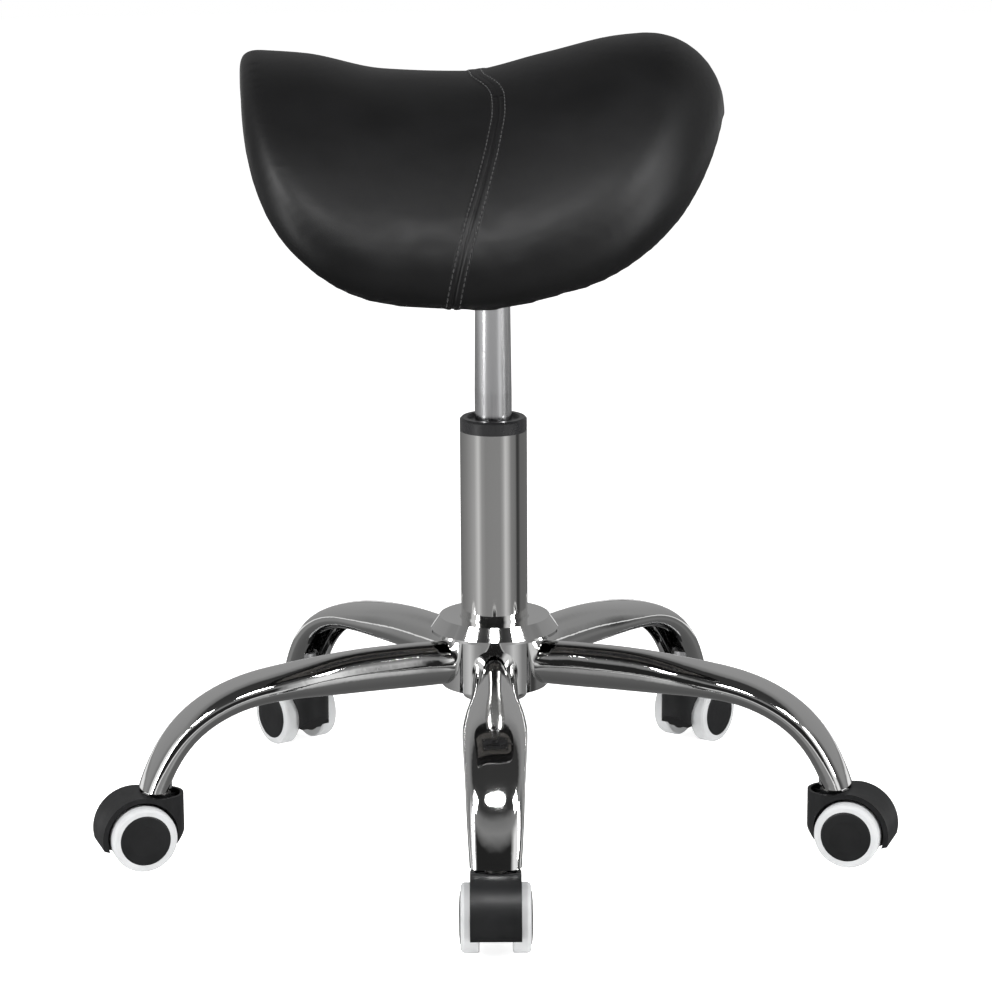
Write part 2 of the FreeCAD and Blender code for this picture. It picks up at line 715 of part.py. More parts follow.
def main():
    os.makedirs("parts", exist_ok=True)
    nodes = {}
    nodes.update(make_base())
    nodes.update(make_column())
    nodes.update(make_gas_cylinder())
    nodes.update(make_seat())
    nodes.update(make_mechanism())
    nodes.update(make_casters())
    for name, shape in nodes.items():
        shape.exportStep(f"parts/{name}.step")
        print(name, "solids", len(shape.Solids), "valid", shape.isValid(),
              "volume", round(shape.Volume))


main()
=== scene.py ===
"""Looks of the rolling stylist stool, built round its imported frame. Metres, in the row frame.

The saddle's front points along +X. The cushion is one stuffed form with a topstitched seam across
it; every other piece is the frame's own, with a finish of its own.
"""

import math

import bmesh
import bpy
import numpy as np
from mathutils import Matrix, Vector
from mathutils.bvhtree import BVHTree


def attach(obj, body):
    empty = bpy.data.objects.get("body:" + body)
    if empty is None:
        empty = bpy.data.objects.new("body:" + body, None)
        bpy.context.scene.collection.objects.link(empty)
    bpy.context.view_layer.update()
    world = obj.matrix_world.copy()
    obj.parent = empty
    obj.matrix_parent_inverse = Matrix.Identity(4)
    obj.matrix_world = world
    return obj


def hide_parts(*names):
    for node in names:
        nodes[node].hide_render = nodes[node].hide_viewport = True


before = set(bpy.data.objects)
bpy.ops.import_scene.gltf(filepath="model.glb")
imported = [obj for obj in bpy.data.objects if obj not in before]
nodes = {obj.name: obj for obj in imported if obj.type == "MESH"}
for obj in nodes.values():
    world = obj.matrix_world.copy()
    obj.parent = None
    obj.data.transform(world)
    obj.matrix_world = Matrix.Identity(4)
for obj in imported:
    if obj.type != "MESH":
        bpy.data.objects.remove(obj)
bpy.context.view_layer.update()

# ---- saddle, in metres --------------------------------------------------------------------------
CENTER_X = -0.0472
HALF_WIDTH = 0.195
REACH_REAR, REACH_FRONT = 0.1402, 0.2185
POWER_REAR, POWER_FRONT = 4.2, 3.1
RIDGE_X = (-0.195, -0.140, -0.080, -0.020, 0.040, 0.100, 0.175)
RIDGE_Z = (0.6084, 0.6050, 0.5934, 0.5908, 0.6030, 0.6157, 0.6196)
DROOP_X = (-0.19, -0.10, 0.0, 0.10, 0.17)
DROOP_Z = (0.120, 0.131, 0.134, 0.152, 0.177)
# rounding of the top edge, thickness of the edge and its tuck: front, rear, side
EDGE_ROUND = (0.056, 0.011, 0.030)
EDGE_THICK = (0.075, 0.050, 0.044)
EDGE_TUCK = (0.020, 0.004, 0.030)
UNDER_Z, UNDER_DROOP = 0.5457, 0.145
LIP_RUN = 0.042  # length over which the underside runs in from the lip to its own level

# ---- stuffing and seam --------------------------------------------------------------------------
VOXEL = 0.0044
SHRINK = 0.0025
SWELL_CAP = 0.0035
SWELL_SHARE = 0.35
CLOTH_FRAMES = 20
HELD_GAP = 0.004  # the underside this near the pan is held still
SEAM_DIP, SEAM_REACH = 0.0004, 0.009  # the cushion dips this much, this far beside the seam
SEAM_Y = (0.0, 0.016, 0.033, 0.048, 0.062, 0.079, 0.107, 0.134, 0.172, 0.195)
SEAM_X = (-0.0125, -0.0115, -0.0065, -0.0015, 0.0004, -0.0003, -0.0060, -0.0148, -0.0306, -0.0395)
SEAM_STEP = 0.0011
SEAM_ROW = 0.0047  # from the seam's middle to each row of stitches
STITCH_PITCH = 0.0044
THREAD_RADIUS = 0.00046
BRIDGE_HALF = 0.0635  # across the saddle's middle the seam's groove is shallow, out to here
# the ribbon's points to one side of the seam's middle
RIBBON_SIDE = (-0.0078, -0.0068, -0.0060, -0.0054, -0.0050, -SEAM_ROW, -0.0044, -0.0040, -0.0034,
               -0.0024, -0.0014, -0.0008, -0.0004)


# ---- numbers ------------------------------------------------------------------------------------
def eased(x, places, values):
    """Monotone cubic through the values, held at its ends."""
    places, values = np.asarray(places, float), np.asarray(values, float)
    spans = np.diff(places)
    rates = np.diff(values) / spans
    slopes = np.concatenate([rates[:1], rates[:-1] * 0, rates[-1:]])
    for i in range(1, len(rates)):
        before, after = rates[i - 1], rates[i]
        slopes[i] = 0 if before * after <= 0 else 2 * before * after / (before + after)
    x = np.clip(x, places[0], places[-1])
    k = np.clip(np.searchsorted(places, x, side="right") - 1, 0, len(spans) - 1)
    t = (x - places[k]) / spans[k]
    return (
        (1 + 2 * t) * (1 - t) ** 2 * values[k]
        + t * (1 - t) ** 2 * spans[k] * slopes[k]
        + t * t * (3 - 2 * t) * values[k + 1]
        + t * t * (t - 1) * spans[k] * slopes[k + 1]
    )


def smooth(t):
    t = np.clip(t, 0, 1)
    return t * t * (3 - 2 * t)


# ---- saddle surface -----------------------------------------------------------------------------
def outline(phi):
    """Plan of the saddle at each direction round its middle."""
    c, s = np.cos(phi), np.sin(phi)
    reach = np.where(c < 0, REACH_REAR, REACH_FRONT)
    power = np.where(c < 0, POWER_REAR, POWER_FRONT)
    radius = (np.abs(c / reach) ** power + np.abs(s / HALF_WIDTH) ** power) ** (-1 / power)
    return CENTER_X + radius * c, radius * s


def top_height(x, y):
    """Height of the saddle's top: a ridge along X that droops to both sides."""
    droop = eased(x, DROOP_X, DROOP_Z)
    return eased(x, RIDGE_X, RIDGE_Z) - droop * (np.abs(y) / HALF_WIDTH) ** 2


def under_height(x, y):
    """Height of the saddle's underside, where the pan meets it."""
    return UNDER_Z - UNDER_DROOP * (y / HALF_WIDTH) ** 2


def top_normal(x, y):
    """Unit direction straight out of the saddle's top."""
    step = 1e-4
    slope_x = (top_height(x + step, y) - top_height(x - step, y)) / (2 * step)
    slope_y = (top_height(x, y + step) - top_height(x, y - step)) / (2 * step)
    normal = np.stack([-slope_x, -slope_y, np.ones_like(slope_x)], -1)
    return normal / np.linalg.norm(normal, axis=-1, keepdims=True)


def by_side(values, phi):
    """Blends values for the front, the rear and the sides by direction."""
    c = np.cos(phi)
    front, rear = np.clip(c, 0, 1) ** 2, np.clip(-c, 0, 1) ** 2
    return front * values[0] + rear * values[1] + (1 - front - rear) * values[2]


def saddle_rings(around=240):
    """Rings of points from the top's middle, over the edge and in under the saddle."""
    phi = np.linspace(0, 2 * math.pi, around, endpoint=False)
    out_x, out_y = outline(phi)
    reach = np.hypot(out_x - CENTER_X, out_y)
    radius = by_side(EDGE_ROUND, phi)
    thick = by_side(EDGE_THICK, phi)
    tuck = by_side(EDGE_TUCK, phi)
    rings = []

    def add(inset, depth):
        share = 1 - inset / reach
        x = CENTER_X + (out_x - CENTER_X) * share
        y = out_y * share
        top = np.stack([x, y, top_height(x, y)], -1)
        rings.append(top - top_normal(x, y) * depth[:, None])

    for t in np.linspace(0.02, 1, 22, endpoint=False):
        add(reach * (1 - t) + radius * t, 0 * radius)
    for angle in np.linspace(0, math.pi / 2, 9):
        add(radius * (1 - math.sin(angle)), radius * (1 - math.cos(angle)))
    for t in np.linspace(0, 1, 8)[1:]:
        add(tuck * t * t, radius + (thick - radius) * t)
    lip = rings[-1]
    for t in (0.03, 0.08, 0.14, 0.22, 0.34, 0.5, 0.7, 0.98):
        x = lip[:, 0] + (CENTER_X - lip[:, 0]) * t
        y = lip[:, 1] * (1 - t)
        flat = under_height(x, y)
        run = np.hypot(lip[:, 0] - CENTER_X, lip[:, 1]) * t
        rings.append(np.stack([x, y, lip[:, 2] + (flat - lip[:, 2]) * smooth(run / LIP_RUN)], -1))
    return np.array(rings)


def seam_place(y):
    """Where the seam crosses the saddle, along X."""
    return eased(np.abs(y), SEAM_Y, SEAM_X)


# ---- meshes -------------------------------------------------------------------------------------
def new_object(name, points, faces, shade_smooth=True):
    mesh = bpy.data.meshes.new(name)
    mesh.from_pydata([tuple(p) for p in points], [], faces)
    mesh.validate()
    mesh.update()
    if shade_smooth:
        mesh.polygons.foreach_set("use_smooth", [True] * len(mesh.polygons))
    obj = bpy.data.objects.new(name, mesh)
    bpy.context.scene.collection.objects.link(obj)
    return obj


def closed_rings(rings):
    """Points and faces of rings joined side to side, with both ends closed by a fan."""
    count, around = rings.shape[:2]
    points = [tuple(p) for p in rings.reshape(-1, 3)]
    faces = []
    for i in range(count - 1):
        for j in range(around):
            k = (j + 1) % around
            low, high = i * around, (i + 1) * around
            faces.append((low + j, high + j, high + k, low + k))
    first, last = len(points), len(points) + 1
    points.append(tuple(rings[0].mean(0)))
    points.append(tuple(rings[-1].mean(0)))
    base = (count - 1) * around
    for j in range(around):
        k = (j + 1) % around
        faces.append((first, j, k))
        faces.append((last, base + k, base + j))
    return points, faces


def coordinates(obj):
    co = np.zeros(len(obj.data.vertices) * 3)
    obj.data.vertices.foreach_get("co", co)
    return co.reshape(-1, 3)


def set_coordinates(obj, co):
    obj.data.vertices.foreach_set("co", co.reshape(-1))
    obj.data.update()


def normals(obj):
    values = np.zeros(len(obj.data.vertices) * 3)
    obj.data.vertices.foreach_get("normal", values)
    return values.reshape(-1, 3)


def apply_modifiers(obj):
    """Replaces the mesh by what its modifiers make of it."""
    graph = bpy.context.evaluated_depsgraph_get()
    made = bpy.data.meshes.new_from_object(obj.evaluated_get(graph))
    obj.modifiers.clear()
    old = obj.data
    obj.data = made
    bpy.data.meshes.remove(old)


def tree_of(obj):
    """A search tree over the object's faces, for nearest points and rays."""
    shape = bmesh.new()
    shape.from_mesh(obj.data)
    tree = BVHTree.FromBMesh(shape)
    shape.free()
    return tree


def stuffed_cushion():
    """The saddle cushion: remeshed evenly, swollen as stuffed cloth and smoothed once."""
    points, faces = closed_rings(saddle_rings())
    obj = new_object("cushion", points, faces)
    shape = tree_of(obj)
    remesh = obj.modifiers.new("remesh", "REMESH")
    remesh.mode = "VOXEL"
    remesh.voxel_size = VOXEL
    relax = obj.modifiers.new("relax", "SMOOTH")
    relax.factor, relax.iterations = 0.5, 8
    bpy.context.view_layer.update()
    apply_modifiers(obj)
    full = np.array([shape.find_nearest(Vector(p))[0] for p in coordinates(obj)])
    set_coordinates(obj, full)
    out = normals(obj)
    gap = np.abs(full[:, 2] - under_height(full[:, 0], full[:, 1]))
    held = (out[:, 2] < -0.3) & (gap < HELD_GAP)
    along = full[:, 0] - seam_place(full[:, 1])
    near_seam = np.exp(-((along / SEAM_REACH) ** 2)) * (out[:, 2] > -0.2)
    start = full - out * (SHRINK * ~held)[:, None]
    swell = np.zeros(len(full))
    set_coordinates(obj, start)
    group = obj.vertex_groups.new(name="held")
    for i in np.nonzero(held)[0]:
        group.add([int(i)], 1.0, "REPLACE")
    cloth = obj.modifiers.new("cloth", "CLOTH")
    settings = cloth.settings
    settings.quality = 4
    settings.mass = 0.25
    settings.tension_stiffness = settings.compression_stiffness = 18
    settings.bending_stiffness = 2.0
    settings.use_pressure = True
    settings.uniform_pressure_force = 4.0
    settings.effector_weights.gravity = 0.0
    settings.vertex_group_mass = "held"
    cloth.collision_settings.use_collision = False
    scene = bpy.context.scene
    scene.frame_start, scene.frame_end = 1, CLOTH_FRAMES
    for step in range(1, CLOTH_FRAMES + 1):
        scene.frame_set(step)
    apply_modifiers(obj)
    grown = np.einsum("ij,ij->i", coordinates(obj) - start, out)
    level = float(np.median(grown[~held]))
    print("cushion swelled by", round(level * 1000, 2), "mm")
    swell = np.clip(grown - level, -SWELL_CAP, SWELL_CAP) * SWELL_SHARE * ~held
    scene.frame_set(1)
    set_coordinates(obj, full + out * (swell - SEAM_DIP * near_seam)[:, None])
    settle = obj.modifiers.new("settle", "SMOOTH")
    settle.factor, settle.iterations = 0.5, 3
    finer = obj.modifiers.new("finer", "SUBSURF")
    finer.levels = finer.render_levels = 1
    apply_modifiers(obj)
    obj.data.polygons.foreach_set("use_smooth", [True] * len(obj.data.polygons))
    return obj


def seam_path():
    """Points and outward directions along the seam, from one flap's lower edge to the other's."""
    half = []
    for y in np.linspace(0, HALF_WIDTH - EDGE_ROUND[2], 150):
        x = np.array(seam_place(y))
        half.append(((float(x), y, float(top_height(x, y))), top_normal(x, np.array(y))))
    phi = np.array([math.pi / 2])
    _, edge_y = outline(phi)
    radius, thick, tuck = EDGE_ROUND[2], EDGE_THICK[2], EDGE_TUCK[2]
    # From the edge on, the seam turns in under the flap.
    below = [(radius * (1 - math.sin(a)), radius * (1 - math.cos(a)), a)
             for a in np.linspace(0.15, math.pi / 2, 8)]
    below += [(tuck * t * t, radius + (thick - radius) * t, math.pi / 2 + 0.5 * t)
              for t in np.linspace(0.08, 0.9, 10)]
    for inset, depth, angle in below:
        y = edge_y - inset
        x = seam_place(y)
        up = top_normal(x, y)[0]
        side = np.array([0.0, up[2], -up[1]])
        point = np.array([x[0], y[0], float(top_height(x, y)[0])]) - up * depth
        out = up * math.cos(angle) + side * math.sin(angle)
        half.append((tuple(point), out / np.linalg.norm(out)))
    right = [((p[0], -p[1], p[2]), np.array([n[0], -n[1], n[2]])) for p, n in half[1:]]
    return list(reversed(right)) + half


def even_path(path, step):
    """The path's points and directions again, at even steps of its length."""
    points = np.array([p for p, _ in path])
    outs = np.array([n for _, n in path])
    lengths = np.concatenate([[0], np.cumsum(np.linalg.norm(np.diff(points, axis=0), axis=1))])
    places = np.arange(0, lengths[-1], step)
    even = [np.stack([np.interp(places, lengths, values[:, i]) for i in range(3)], -1)
            for values in (points, outs)]
    outs = even[1] / np.linalg.norm(even[1], axis=1, keepdims=True)
    return even[0], outs


def seam_height(offset, y, place):
    """How far the seam's ridge stands off the cushion, at an offset across it."""
    across = abs(offset)
    bridge = 1 - float(smooth((abs(y) - BRIDGE_HALF) / 0.002))
    height = 0.0011 * float(1 - smooth((across - 0.0046) / 0.0026)) - 0.0003
    height -= 0.0006 * math.exp(-(((across - SEAM_ROW) / 0.0008) ** 2))
    height -= 0.0013 * math.exp(-((across / 0.0009) ** 2)) * (1 - 0.85 * bridge)
    height -= 0.0005 * math.exp(-(((abs(y) - BRIDGE_HALF) / 0.0007) ** 2)) * (across < SEAM_ROW)
    pull = math.cos(2 * math.pi * place / STITCH_PITCH)
    height += 0.0002 * pull * math.exp(-(((across - SEAM_ROW) / 0.0012) ** 2))
    return height


def seam_pieces(tree):
    """The seam's ridge as a ribbon on the cushion, and its two rows of stitches."""
    points, outs = even_path(seam_path(), SEAM_STEP)
    offsets = RIBBON_SIDE + (0.0,) + tuple(-o for o in reversed(RIBBON_SIDE))
    grid = []
    for i, (point, out) in enumerate(zip(points, outs)):
        ahead = points[min(i + 1, len(points) - 1)] - points[max(i - 1, 0)]
        side = np.cross(ahead, out)
        side /= np.linalg.norm(side)
        row = []
        for offset in offsets:
            start = Vector(point + side * offset + out * 0.012)
            hit, normal, _, _ = tree.ray_cast(start, Vector(-out), 0.03)
            if hit is None:
                hit, normal, _, _ = tree.find_nearest(Vector(point + side * offset))
            if normal.dot(Vector(out)) < 0:
                normal = -normal
            rise = seam_height(offset, point[1], i * SEAM_STEP)
            row.append((np.array(hit), np.array(normal), rise))
        grid.append(row)
    base = np.array([[cell[0] for cell in row] for row in grid])
    face = np.array([[cell[1] for cell in row] for row in grid])
    for _ in range(3):
        face[1:-1] = (face[:-2] + 2 * face[1:-1] + face[2:]) / 4
    face /= np.linalg.norm(face, axis=-1, keepdims=True)
    rise = np.array([[cell[2] for cell in row] for row in grid])
    surface = base + face * rise[..., None]
    count, width = surface.shape[:2]
    faces = []
    for i in range(count - 1):
        for j in range(width - 1):
            a = i * width + j
            faces.append((a, a + 1, a + width + 1, a + width))
    ribbon = new_object("cushion_seam", surface.reshape(-1, 3), faces)

    stitch_points, stitch_faces = [], []
    per = STITCH_PITCH / SEAM_STEP
    for j in (offsets.index(-SEAM_ROW), offsets.index(SEAM_ROW)):
        middle = 2.0
        while middle < count - 3:
            low, high = middle - per * 0.36, middle + per * 0.36
            spine = []
            for t in np.linspace(0, 1, 7):
                place = low + (high - low) * t
                i = int(np.clip(math.floor(place), 0, count - 2))
                share = place - i
                at = surface[i, j] * (1 - share) + surface[i + 1, j] * share
                lift = 0.00034 * math.sin(math.pi * t) + 0.00002
                spine.append(at + face[i, j] * lift)
            up = face[int(middle), j]
            add_thread(stitch_points, stitch_faces, np.array(spine), up, THREAD_RADIUS)
            middle += per
    stitches = new_object("cushion_stitches", stitch_points, stitch_faces)
    return ribbon, stitches


def add_thread(points, faces, spine, up, radius, sides=7):
    """Adds a short thread along the spine, thinner at both ends."""
    ahead = spine[-1] - spine[0]
    ahead /= np.linalg.norm(ahead)
    side = np.cross(ahead, up)
    side /= np.linalg.norm(side)
    start = len(points)
    for i, at in enumerate(spine):
        t = i / (len(spine) - 1)
        r = radius * (0.35 + 0.65 * math.sin(math.pi * (0.08 + 0.84 * t)))
        for k in range(sides):
            angle = 2 * math.pi * k / sides
            points.append(tuple(at + side * (r * math.cos(angle)) + up * (r * math.sin(angle))))
    for i in range(len(spine) - 1):
        for k in range(sides):
            a, b = start + i * sides + k, start + i * sides + (k + 1) % sides
            faces.append((a, b, b + sides, a + sides))
    faces.append(tuple(start + k for k in reversed(range(sides))))
    faces.append(tuple(start + (len(spine) - 1) * sides + k for k in range(sides)))


# ---- finishes -----------------------------------------------------------------------------------
class Finish:
    """A material of procedural nodes round one Principled shader."""

    def __init__(self, name, **constants):
        self.material = bpy.data.materials.new(name)
        self.material.use_nodes = True
        self.tree = self.material.node_tree
        self.shader = self.tree.nodes["Principled BSDF"]
        self.place = self.add("ShaderNodeTexCoord").outputs["Object"]
        self.height = None
        for key, value in constants.items():
            self.shader.inputs[key.replace("_", " ")].default_value = value

    def add(self, kind, **settings):
        node = self.tree.nodes.new(kind)
        for key, value in settings.items():
            setattr(node, key, value)
        return node

    def link(self, source, target):
        self.tree.links.new(source, target)

    def noise(self, scale, detail=3.0, roughness=0.5, stretch=None):
        node = self.add("ShaderNodeTexNoise")
        node.inputs["Scale"].default_value = scale
        node.inputs["Detail"].default_value = detail
        node.inputs["Roughness"].default_value = roughness
        self.link(self.stretched(stretch), node.inputs["Vector"])
        return node.outputs["Fac"]

    def cells(self, scale):
        node = self.add("ShaderNodeTexVoronoi", feature="DISTANCE_TO_EDGE")
        node.inputs["Scale"].default_value = scale
        self.link(self.place, node.inputs["Vector"])
        return node.outputs["Distance"]

    def stretched(self, stretch):
        if stretch is None:
            return self.place
        mapping = self.add("ShaderNodeMapping")
        mapping.inputs["Scale"].default_value = stretch
        self.link(self.place, mapping.inputs["Vector"])
        return mapping.outputs["Vector"]

    def spread(self, source, low, high, start=0.3, end=0.7):
        """Maps a pattern onto a range of values."""
        node = self.add("ShaderNodeMapRange", interpolation_type="SMOOTHSTEP")
        node.inputs["From Min"].default_value = start
        node.inputs["From Max"].default_value = end
        node.inputs["To Min"].default_value = low
        node.inputs["To Max"].default_value = high
        self.link(source, node.inputs["Value"])
        return node.outputs["Result"]

    def combine(self, operation, a, b):
        node = self.add("ShaderNodeMath", operation=operation)
        for socket, value in zip(node.inputs, (a, b)):
            if isinstance(value, (int, float)):
                socket.default_value = value
            else:
                self.link(value, socket)
        return node.outputs[0]

    def tint(self, pattern, dark, light):
        """Base colour that drifts between two shades."""
        ramp = self.add("ShaderNodeValToRGB")
        ramp.color_ramp.elements[0].position = 0.3
        ramp.color_ramp.elements[0].color = (*dark, 1)
        ramp.color_ramp.elements[1].position = 0.7
        ramp.color_ramp.elements[1].color = (*light, 1)
        self.link(pattern, ramp.inputs["Fac"])
        self.link(ramp.outputs["Color"], self.shader.inputs["Base Color"])

    def rough(self, source):
        self.link(source, self.shader.inputs["Roughness"])

    def bump(self, pattern, strength, distance):
        node = self.add("ShaderNodeBump")
        node.inputs["Strength"].default_value = strength
        node.inputs["Distance"].default_value = distance
        self.link(pattern, node.inputs["Height"])
        if self.height is not None:
            self.link(self.height, node.inputs["Normal"])
        self.height = node.outputs["Normal"]
        self.link(self.height, self.shader.inputs["Normal"])


def chrome(name, light, dark, low, high):
    finish = Finish(name, Metallic=1.0)
    cloud = finish.noise(9.0, 2.0)
    finish.tint(cloud, dark, light)
    smear = finish.noise(34.0, 4.0, 0.6)
    hairs = finish.noise(120.0, 2.0, 0.5, stretch=(1.0, 1.0, 0.08))
    finish.rough(finish.combine("ADD", finish.spread(smear, low, high, 0.35, 0.8),
                                finish.spread(hairs, 0.0, 0.012, 0.55, 0.8)))
    finish.bump(finish.noise(45.0, 2.0), 0.05, 0.0006)
    return finish.material


def satin_metal(name, light, dark, low, high, stretch):
    finish = Finish(name, Metallic=1.0)
    lines = finish.noise(260.0, 4.0, 0.65, stretch=stretch)
    finish.tint(lines, dark, light)
    finish.rough(finish.spread(lines, low, high))
    finish.bump(lines, 0.10, 0.00008)
    return finish.material


def moulded(name, light, dark, low, high, grain, depth, **constants):
    finish = Finish(name, **constants)
    finish.tint(finish.noise(60.0, 3.0), dark, light)
    finish.rough(finish.spread(finish.noise(35.0, 4.0, 0.6), low, high))
    finish.bump(finish.noise(grain, 2.0, 0.6), 0.35, depth)
    return finish.material


def faux_leather(name):
    finish = Finish(name, Specular_IOR_Level=0.21, Coat_Weight=0.03, Coat_Roughness=0.30)
    drift = finish.noise(14.0, 3.0)
    finish.tint(drift, (0.0028, 0.0028, 0.0030), (0.0044, 0.0044, 0.0047))
    pores = finish.cells(1500.0)
    fine = finish.noise(2600.0, 2.0, 0.6)
    finish.rough(finish.combine("ADD", finish.spread(drift, 0.40, 0.46),
                                finish.spread(pores, 0.05, 0.0, 0.0, 0.25)))
    finish.bump(finish.noise(60.0, 2.0), 0.10, 0.0009)
    grain = finish.combine("ADD", finish.spread(pores, 0.0, 1.0, 0.0, 0.35), fine)
    finish.bump(grain, 0.30, 0.00009)
    return finish.material


def thread(name):
    finish = Finish(name, Specular_IOR_Level=0.35, Sheen_Weight=0.3)
    fibres = finish.noise(5200.0, 2.0, 0.6)
    finish.tint(fibres, (0.004, 0.004, 0.004), (0.011, 0.011, 0.012))
    finish.rough(finish.spread(fibres, 0.55, 0.75))
    finish.bump(fibres, 0.5, 0.0001)
    return finish.material


def make_finishes():
    return {
        "chrome_base": chrome("chrome_base", (0.80, 0.80, 0.795), (0.74, 0.74, 0.735),
                              0.035, 0.085),
        "chrome_column": chrome("chrome_column", (0.76, 0.755, 0.745), (0.71, 0.705, 0.695),
                                0.05, 0.10),
        "satin_steel": satin_metal("satin_steel", (0.74, 0.74, 0.75), (0.64, 0.64, 0.65),
                                   0.16, 0.26, (1.0, 1.0, 0.03)),
        "zinc_steel": satin_metal("zinc_steel", (0.68, 0.67, 0.65), (0.52, 0.51, 0.50),
                                  0.30, 0.45, (1.0, 1.0, 1.0)),
        "black_steel": moulded("black_steel", (0.022, 0.022, 0.023), (0.013, 0.013, 0.014),
                               0.30, 0.42, 700.0, 0.0001),
        "bush_plastic": moulded("bush_plastic", (0.016, 0.016, 0.017), (0.010, 0.010, 0.011),
                                0.26, 0.36, 1500.0, 0.00005),
        "caster_plastic": moulded("caster_plastic", (0.0080, 0.0083, 0.0090),
                                  (0.0050, 0.0052, 0.0056), 0.38, 0.50, 1900.0, 0.00006,
                                  Specular_IOR_Level=0.35),
        "tread": moulded("tread", (0.47, 0.475, 0.48), (0.42, 0.425, 0.43),
                         0.45, 0.6, 900.0, 0.00008),
        "stop_rubber": moulded("stop_rubber", (0.05, 0.05, 0.05), (0.03, 0.03, 0.03),
                               0.7, 0.85, 800.0, 0.0001),
        "pan_board": moulded("pan_board", (0.060, 0.055, 0.050), (0.032, 0.030, 0.028),
                             0.65, 0.85, 500.0, 0.0003),
        "upholstery": faux_leather("upholstery"),
        "grip_plastic": moulded("grip_plastic", (0.018, 0.018, 0.018), (0.010, 0.010, 0.010),
                                0.45, 0.6, 1100.0, 0.0001),
    }


def dress(obj, material):
    obj.data.materials.clear()
    obj.data.materials.append(material)


# ---- studio -------------------------------------------------------------------------------------
HEADING = math.radians(-4.0)  # the camera's side of the stool, turned about Z
CAMERA_AT = (0.0017, -2.8, 0.93)
CAMERA_TILT, CAMERA_ROLL = math.radians(76.616), math.radians(-0.33)
LENS, SENSOR = 136.2, 36.0


def placed(x, y, z):
    """A point given from the camera's heading, in the row frame."""
    return Vector((
        x * math.cos(HEADING) - y * math.sin(HEADING),
        x * math.sin(HEADING) + y * math.cos(HEADING),
        z,
    ))


def make_camera():
    data = bpy.data.cameras.new("camera")
    data.sensor_width, data.lens = SENSOR, LENS
    camera = bpy.data.objects.new("camera", data)
    camera.location = placed(*CAMERA_AT)
    turn = Matrix.Rotation(HEADING, 3, "Z") @ Matrix.Rotation(CAMERA_TILT, 3, "X")
    camera.rotation_euler = (turn @ Matrix.Rotation(CAMERA_ROLL, 3, "Z")).to_euler()
    bpy.context.scene.collection.objects.link(camera)
    bpy.context.scene.camera = camera


def add_light(name, at, aim, width, height, power, outline="RECTANGLE"):
    data = bpy.data.lights.new(name, "AREA")
    data.shape, data.size, data.size_y = outline, width, height
    data.energy = power
    light = bpy.data.objects.new(name, data)
    light.location = placed(*at)
    light.rotation_euler = (placed(*aim) - light.location).to_track_quat("-Z", "Y").to_euler()
    bpy.context.scene.collection.objects.link(light)
    return light


def make_floor():
    """A plain pale floor, which the metal does not mirror: its reflections come from the room."""
    around, radius = 96, 6.0
    turns = [2 * math.pi * k / around for k in range(around)]
    rim = [(radius * math.cos(a), radius * math.sin(a), 0.0) for a in turns]
    finish = Finish("floor", Roughness=0.8, Specular_IOR_Level=0.1, Emission_Strength=0.86)
    finish.shader.inputs["Emission Color"].default_value = (1, 1, 1, 1)
    finish.tint(finish.noise(3.0), (0.86, 0.86, 0.855), (0.88, 0.88, 0.875))
    floor = new_object("floor", rim, [tuple(range(around))], shade_smooth=False)
    floor.visible_glossy = False
    dress(floor, finish.material)


# Brightness of the room round the stool: by turn from the camera's side (-180 to 180 degrees,
# positive to the right) below and at eye level, and by height (sine of the elevation) above.
ROOM_LOW = (
    (-180, 0.14), (-140, 0.20), (-110, 0.26), (-90, 0.33), (-71, 0.42), (-55, 0.70), (-42, 0.36),
    (-28, 0.28), (22, 0.29), (31, 0.40), (41, 0.68), (51, 0.52), (62, 0.26), (80, 0.20),
    (87, 0.05), (95, 0.06), (104, 0.16), (140, 0.17), (180, 0.14),
)
ROOM_MID = (
    (-180, 0.34), (-115, 0.30), (-92, 0.20), (-84, 0.95), (-58, 0.95), (-48, 0.02), (-10, 0.02),
    (30, 0.02), (44, 0.95), (64, 0.95), (76, 0.06), (92, 0.10), (110, 0.30), (180, 0.34),
)
ROOM_HIGH = ((0.0, 0.30), (0.55, 0.30), (0.72, 0.20), (0.80, 0.04), (1.0, 0.04))
ROOM_FLOOR = ((-1.0, 0.10), (-0.6, 0.14), (-0.3, 0.30))
# share of a bright band just under eye level, by height
ROOM_BAND = ((-0.15, 0.0), (-0.13, 0.9), (-0.07, 0.9), (-0.05, 0.0))


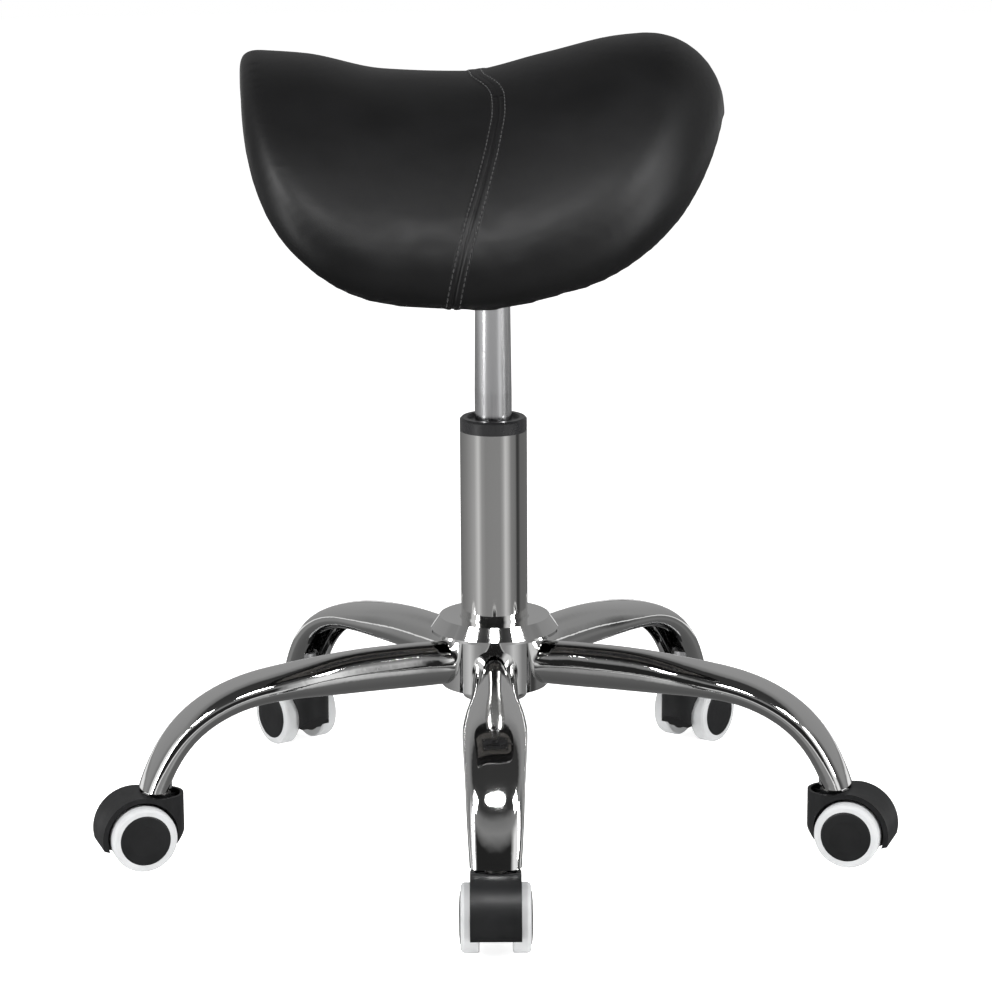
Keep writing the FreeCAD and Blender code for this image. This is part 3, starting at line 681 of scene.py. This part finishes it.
def make_world():
    """White to the camera; to everything else, a grey room with pale panels at both sides."""
    world = bpy.data.worlds.new("studio")
    bpy.context.scene.world = world
    world.use_nodes = True
    tree = world.node_tree
    tree.nodes.clear()

    def node(kind, **inputs):
        made = tree.nodes.new(kind)
        for key, value in inputs.items():
            made.inputs[key.replace("_", " ")].default_value = value
        return made

    def wired(made, *sources):
        for socket, source in zip(made.inputs, sources):
            tree.links.new(source, socket)
        return made

    def window(source, start, end):
        made = node("ShaderNodeMapRange", From_Min=start, From_Max=end)
        tree.links.new(source, made.inputs["Value"])
        return made.outputs["Result"]

    def ramp(source, stops, low, high):
        made = tree.nodes.new("ShaderNodeValToRGB")
        elements = made.color_ramp.elements
        while len(elements) < len(stops):
            elements.new(0.5)
        for element, (place, value) in zip(elements, stops):
            element.position = (place - low) / (high - low)
            element.color = (value, value, value, 1)
        tree.links.new(window(source, low, high), made.inputs["Fac"])
        return made.outputs["Color"]

    def blend(share, first, second):
        made = tree.nodes.new("ShaderNodeMix")
        made.data_type = "RGBA"
        tree.links.new(share, made.inputs["Factor"])
        tree.links.new(first, made.inputs["A"])
        tree.links.new(second, made.inputs["B"])
        return made.outputs["Result"]

    coordinate = tree.nodes.new("ShaderNodeTexCoord").outputs["Generated"]
    turn = node("ShaderNodeMapping", Rotation=(0, 0, -HEADING))
    tree.links.new(coordinate, turn.inputs["Vector"])
    split = wired(tree.nodes.new("ShaderNodeSeparateXYZ"), turn.outputs["Vector"])
    ahead = tree.nodes.new("ShaderNodeMath")
    ahead.operation = "MULTIPLY"
    ahead.inputs[1].default_value = -1.0
    tree.links.new(split.outputs["Y"], ahead.inputs[0])
    around = tree.nodes.new("ShaderNodeMath")
    around.operation = "ARCTAN2"
    wired(around, split.outputs["X"], ahead.outputs[0])
    degrees = tree.nodes.new("ShaderNodeMath")
    degrees.operation = "DEGREES"
    place = wired(degrees, around.outputs[0]).outputs[0]
    height = split.outputs["Z"]
    low = ramp(place, ROOM_LOW, -180, 180)
    middle = ramp(place, ROOM_MID, -180, 180)
    high = ramp(height, ROOM_HIGH, 0, 1)
    ground = ramp(height, ROOM_FLOOR, -1, 0)
    low = blend(window(height, -0.55, -0.32), ground, low)
    shade = blend(window(height, -0.07, 0.01), low, middle)
    shade = blend(window(height, 0.48, 0.62), shade, high)
    white = tree.nodes.new("ShaderNodeRGB")
    white.outputs[0].default_value = (1, 1, 1, 1)
    shade = blend(ramp(height, ROOM_BAND, -1, 1), shade, white.outputs[0])
    room = tree.nodes.new("ShaderNodeBackground")
    tree.links.new(shade, room.inputs["Color"])
    seen = node("ShaderNodeBackground", Color=(1, 1, 1, 1))
    path = tree.nodes.new("ShaderNodeLightPath")
    mix = wired(tree.nodes.new("ShaderNodeMixShader"), path.outputs["Is Camera Ray"],
                room.outputs[0], seen.outputs[0])
    output = tree.nodes.new("ShaderNodeOutputWorld")
    tree.links.new(mix.outputs[0], output.inputs["Surface"])


def make_studio():
    make_camera()
    make_world()
    make_floor()
    add_light("top", (0.0, -1.15, 2.05), (0, 0, 0.5), 0.75, 0.48, 19, "ELLIPSE")
    add_light("over", (0.0, -0.5, 2.2), (0, 0, 0.5), 0.7, 0.4, 2).visible_glossy = False
    add_light("top_left", (-1.25, -0.9, 1.75), (0, 0, 0.5), 0.6, 0.5, 24)
    add_light("top_right", (1.25, -0.9, 1.75), (0, 0, 0.5), 0.6, 0.5, 21)
    add_light("left", (-1.5, -0.9, 0.75), (0, 0, 0.45), 0.30, 1.2, 13)
    add_light("right", (1.45, -0.65, 0.75), (0, 0, 0.45), 0.35, 0.9, 12)
    bpy.context.scene.view_settings.view_transform = "Standard"


# ---- making -------------------------------------------------------------------------------------
make_studio()
finishes = make_finishes()

cushion = stuffed_cushion()
dress(cushion, finishes["upholstery"])
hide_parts("seat_cushion")
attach(cushion, "seat")

ribbon, stitches = seam_pieces(tree_of(cushion))
dress(ribbon, finishes["upholstery"])
dress(stitches, thread("stitch_thread"))
for piece in (ribbon, stitches):
    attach(piece, "seat")

for name, node in nodes.items():
    kind = node.data.materials[0].name.split(".")[0] if node.data.materials else ""
    if kind in finishes:
        dress(node, finishes[kind])
